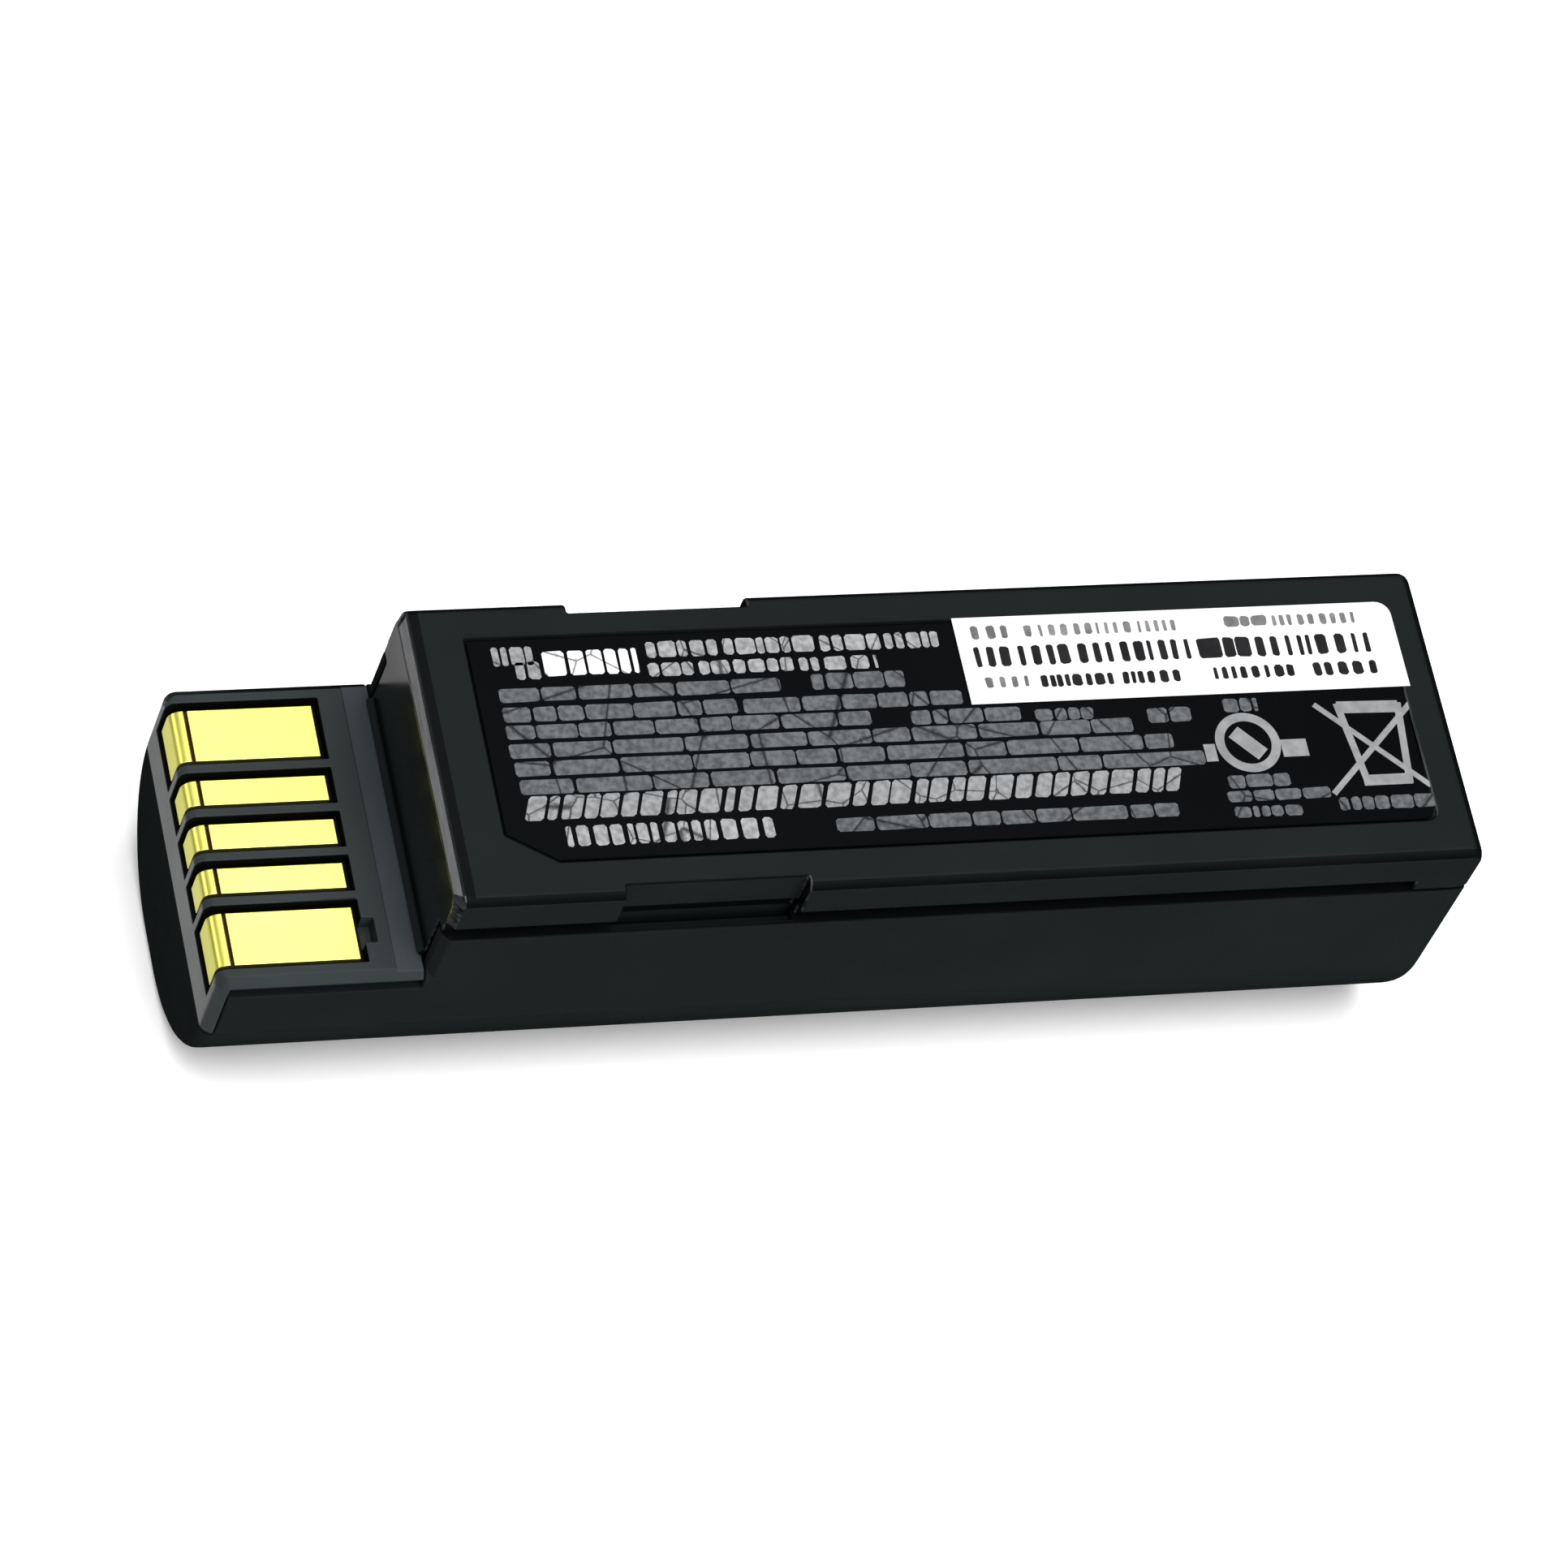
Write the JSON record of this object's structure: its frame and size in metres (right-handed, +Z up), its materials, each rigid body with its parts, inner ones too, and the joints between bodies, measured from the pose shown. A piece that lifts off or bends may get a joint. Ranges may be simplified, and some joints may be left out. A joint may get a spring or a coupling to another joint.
{
  "type": "removable battery pack",
  "caption": "Slide-in battery pack: U-bottomed two-piece shell round one cylindrical lithium-ion cell, with a lower contact tongue, side grooves and latch notches.",
  "frame": {"origin": "under the middle of the pack, at the level of its lowest face", "axes": "+X along the pack away from the contacts, +Y across it, +Z up, out of the label"},
  "size_m": [0.0836, 0.022, 0.024],
  "materials": {
    "shell": "satin black moulded plastic",
    "carrier": "satin charcoal moulded plastic",
    "label": "gloss black printed film",
    "sticker": "white coated paper",
    "gold": "gold-plated copper alloy",
    "board": "green solder mask",
    "chip": "moulded epoxy",
    "ceramic": "tan ceramic with tinned ends",
    "polymer": "natural polymer",
    "steel": "nickel-plated steel",
    "nickel": "pure nickel strip",
    "sleeve": "blue shrink sleeve",
    "electrode": "wound coated foils",
    "paper": "insulating paper",
    "foam": "open-cell foam"
  },
  "bodies": {
    "root": {"lower_housing": "shell", "upper_cover": "shell", "contact_carrier": "carrier", "label_film": "label", "barcode_sticker": "sticker", "contact_1": "gold", "contact_2": "gold", "contact_3": "gold", "contact_4": "gold", "contact_5": "gold", "circuit_board": "board", "fuel_gauge_chip": "chip", "switch_transistor": "chip", "protection_chip": "chip", "memory_chip": "chip", "sense_resistor": "chip", "board_fuse": "ceramic", "capacitor_1": "ceramic", "capacitor_2": "ceramic", "temperature_sensor": "polymer", "cell_can": "steel", "cell_sleeve": "sleeve", "electrode_roll": "electrode", "roll_base_insulator": "polymer", "roll_top_insulator": "polymer", "vent_disc": "steel", "cell_gasket": "polymer", "cell_cap": "steel", "cap_washer": "paper", "positive_strip": "nickel", "negative_strip": "nickel", "strip_insulator": "paper", "top_foam_pad": "foam", "end_foam_pad": "foam"}
  },
  "joints": []
}
